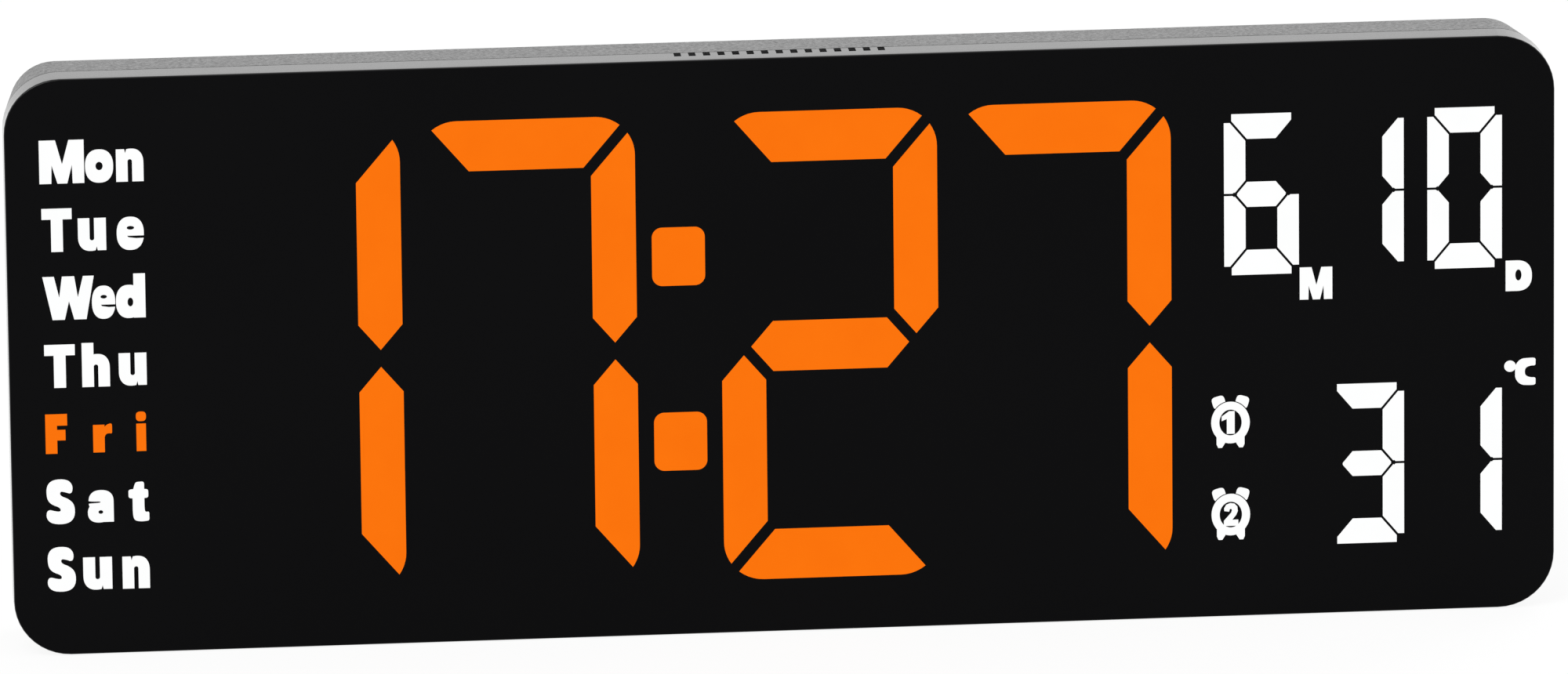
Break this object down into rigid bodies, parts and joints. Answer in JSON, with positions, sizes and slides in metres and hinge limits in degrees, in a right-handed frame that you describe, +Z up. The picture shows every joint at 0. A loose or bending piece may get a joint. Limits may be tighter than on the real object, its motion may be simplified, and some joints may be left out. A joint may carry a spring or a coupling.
{
  "type": "digital wall clock",
  "caption": "Slim digital wall clock: smoked front panel with LED time, weekday, date and temperature, tapered rear cover, push keys, battery cap and fold-out stands.",
  "frame": {"origin": "on the floor under the middle of the case", "axes": "+X to the right as the display is read, +Y from the display to the wall, +Z up"},
  "size_m": [0.33, 0.028, 0.126],
  "materials": {
    "smoked_panel": "polished smoked polycarbonate",
    "orange_light": "lit orange LED window",
    "white_light": "lit white LED window",
    "frame_abs": "semi-gloss moulded black ABS",
    "cover_abs": "fine spark-textured black ABS",
    "key_abs": "satin dark grey ABS",
    "reflector_abs": "white ABS",
    "circuit_board": "solder mask over glass epoxy",
    "led_package": "white LED package",
    "chip_epoxy": "moulded epoxy",
    "switch_nylon": "black nylon",
    "capacitor_sleeve": "shrink sleeve",
    "screw_steel": "black zinc steel",
    "can_steel": "nickel-plated steel",
    "contact_metal": "plated spring brass"
  },
  "bodies": {
    "case": {"battery_contact_negative": "contact_metal", "battery_contact_positive": "contact_metal", "board_screws": "screw_steel", "buzzer": "chip_epoxy", "clock_crystal": "can_steel", "coin_cell": "can_steel", "colon_dots": "orange_light", "controller_chip": "chip_epoxy", "day_tens_segments": "white_light", "day_units_segments": "white_light", "front_frame": "frame_abs", "front_panel": "smoked_panel", "hour_tens_segments": "orange_light", "hour_units_segments": "orange_light", "housing_screws": "screw_steel", "key_switches": "switch_nylon", "led_board": "circuit_board", "led_chips": "led_package", "led_driver_chips": "chip_epoxy", "light_box": "reflector_abs", "minute_tens_segments": "orange_light", "minute_units_segments": "orange_light", "month_segments": "white_light", "power_socket": "switch_nylon", "power_socket_pin": "contact_metal", "rear_cover": "cover_abs", "smoothing_capacitors": "capacitor_sleeve", "temperature_tens_segments": "white_light", "temperature_units_segments": "white_light", "thermistor": "chip_epoxy", "unlit_segments": "smoked_panel"},
    "alarm_button": {"alarm_key": "key_abs", "alarm_switch_plunger": "switch_nylon"},
    "down_button": {"down_key": "key_abs", "down_switch_plunger": "switch_nylon"},
    "up_button": {"up_key": "key_abs", "up_switch_plunger": "switch_nylon"},
    "set_button": {"set_key": "key_abs", "set_switch_plunger": "switch_nylon"},
    "left_leg": {"left_stand": "cover_abs"},
    "right_leg": {"right_stand": "cover_abs"},
    "cap": {"battery_cap": "cover_abs"}
  },
  "joints": [
    {"name": "alarm_key_press", "type": "slide", "parent": "case", "child": "alarm_button", "axis": [0, -1, 0], "range_m": [0, 0.0006], "stiffness_N_per_m": 2000},
    {"name": "down_key_press", "type": "slide", "parent": "case", "child": "down_button", "axis": [0, -1, 0], "range_m": [0, 0.0006], "stiffness_N_per_m": 2000},
    {"name": "up_key_press", "type": "slide", "parent": "case", "child": "up_button", "axis": [0, -1, 0], "range_m": [0, 0.0006], "stiffness_N_per_m": 2000},
    {"name": "set_key_press", "type": "slide", "parent": "case", "child": "set_button", "axis": [0, -1, 0], "range_m": [0, 0.0006], "stiffness_N_per_m": 2000},
    {"name": "left_stand_swing", "type": "hinge", "parent": "case", "child": "left_leg", "pos_m": [-0.095, 0.0119, 0.01], "axis": [-1, 0, 0], "range_deg": [0, 90]},
    {"name": "right_stand_swing", "type": "hinge", "parent": "case", "child": "right_leg", "pos_m": [0.095, 0.0119, 0.01], "axis": [-1, 0, 0], "range_deg": [0, 90]},
    {"name": "battery_cap_turn", "type": "hinge", "parent": "case", "child": "cap", "pos_m": [0.056, 0.0122, 0.076], "axis": [0, 1, 0], "range_deg": [0, 45]}
  ]
}
